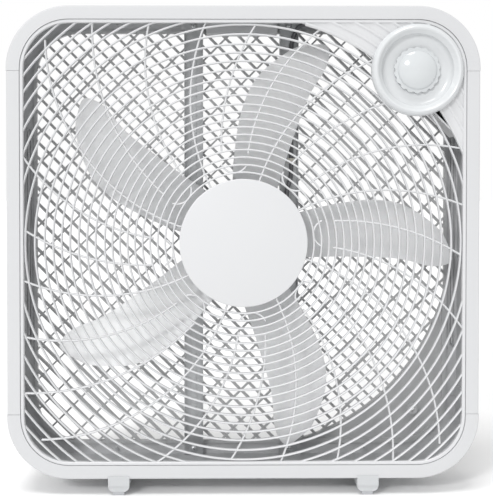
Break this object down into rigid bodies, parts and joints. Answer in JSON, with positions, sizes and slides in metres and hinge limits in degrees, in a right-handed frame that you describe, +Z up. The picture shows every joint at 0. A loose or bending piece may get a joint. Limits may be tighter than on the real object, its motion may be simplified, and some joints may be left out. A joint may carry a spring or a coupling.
{
  "type": "box fan",
  "caption": "Square white box fan on two feet, with a swept blade behind a ringed spiral grille, a dished speed knob in one corner and a slatted rear grille.",
  "frame": {"origin": "middle of the footprint, on the surface that the feet stand on", "axes": "+X to the right seen from the front, -Y out of the front grille, +Z up; the fan's axis runs along Y"},
  "size_m": [0.53, 0.116, 0.5488],
  "materials": {
    "cabinet_white": "fine moulded satin",
    "grille_white": "satin moulded plastic",
    "blade_white": "satin, slightly translucent",
    "knob_white": "polished moulded plastic",
    "foot_grey": "satin moulded plastic",
    "pad_rubber": "soft grey rubber",
    "galvanised_steel": "zinc plated sheet",
    "zinc_fastener": "bright zinc plate",
    "motor_shell": "satin grey paint",
    "lamination_steel": "varnished electrical steel",
    "copper_winding": "enamelled copper wire",
    "ground_steel": "ground shaft steel",
    "bearing_bronze": "oil filled sintered bronze",
    "nylon": "natural nylon",
    "black_plastic": "moulded black plastic",
    "lead_sheath": "black vinyl sheath"
  },
  "bodies": {
    "cabinet": {"bezel_screws": "zinc_fastener", "bottom_cap": "cabinet_white", "carry_handle": "cabinet_white", "control_bezel": "knob_white", "cord_gland": "cabinet_white", "foot_pads": "pad_rubber", "foot_screws": "zinc_fastener", "front_bush": "bearing_bronze", "front_grille": "grille_white", "joint_screws": "zinc_fastener", "lead_clips": "nylon", "left_foot": "foot_grey", "left_side_panel": "cabinet_white", "left_strut": "galvanised_steel", "motor_front_shell": "motor_shell", "motor_lead": "lead_sheath", "motor_mount_nuts": "zinc_fastener", "motor_mount_screws": "zinc_fastener", "motor_nuts": "zinc_fastener", "motor_rear_shell": "motor_shell", "motor_through_bolts": "zinc_fastener", "rear_bush": "bearing_bronze", "rear_grille": "grille_white", "rear_grille_screws": "zinc_fastener", "right_foot": "foot_grey", "right_side_panel": "cabinet_white", "right_strut": "galvanised_steel", "run_capacitor": "black_plastic", "stator_core": "lamination_steel", "stator_windings": "copper_winding", "strut_screws": "zinc_fastener", "switch_body": "black_plastic", "switch_cover": "cabinet_white", "switch_nut": "zinc_fastener", "top_cap": "cabinet_white"},
    "rotor": {"fan_blade": "blade_white", "blade_nut": "nylon", "motor_shaft": "ground_steel", "rotor_core": "lamination_steel", "thrust_washers": "nylon"},
    "knob": {"speed_knob": "knob_white", "switch_shaft": "nylon"}
  },
  "joints": [
    {"name": "blade_spin", "type": "hinge", "parent": "cabinet", "child": "rotor", "pos_m": [0, 0, 0.2838], "axis": [0, 1, 0], "continuous": true},
    {"name": "knob_turn", "type": "hinge", "parent": "cabinet", "child": "knob", "pos_m": [0.1942, -0.05, 0.4773], "axis": [0, 1, 0], "range_deg": [0, 135]}
  ]
}
